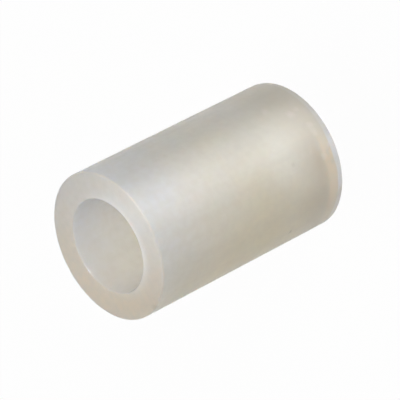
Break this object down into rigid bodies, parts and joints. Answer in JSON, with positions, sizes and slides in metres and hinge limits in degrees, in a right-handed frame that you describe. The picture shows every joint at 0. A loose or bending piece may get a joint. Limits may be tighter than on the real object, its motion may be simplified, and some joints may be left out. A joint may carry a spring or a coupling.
{
  "type": "plain round spacer",
  "caption": "Round sleeve of natural nylon with a plain through bore and flat ends, slipped over a screw to hold panels or boards a set distance apart.",
  "frame": {"origin": "middle of the lower end face, on the bore's axis, so that the spacer stands on it", "axes": "+Z along the bore's axis, up from the lower end face; X and Y are free, because the part is round"},
  "size_m": [0.01, 0.01, 0.016],
  "materials": {
    "natural_nylon": "satin, slightly translucent, undyed off-white"
  },
  "bodies": {
    "root": {"spacer": "natural_nylon"}
  },
  "joints": []
}
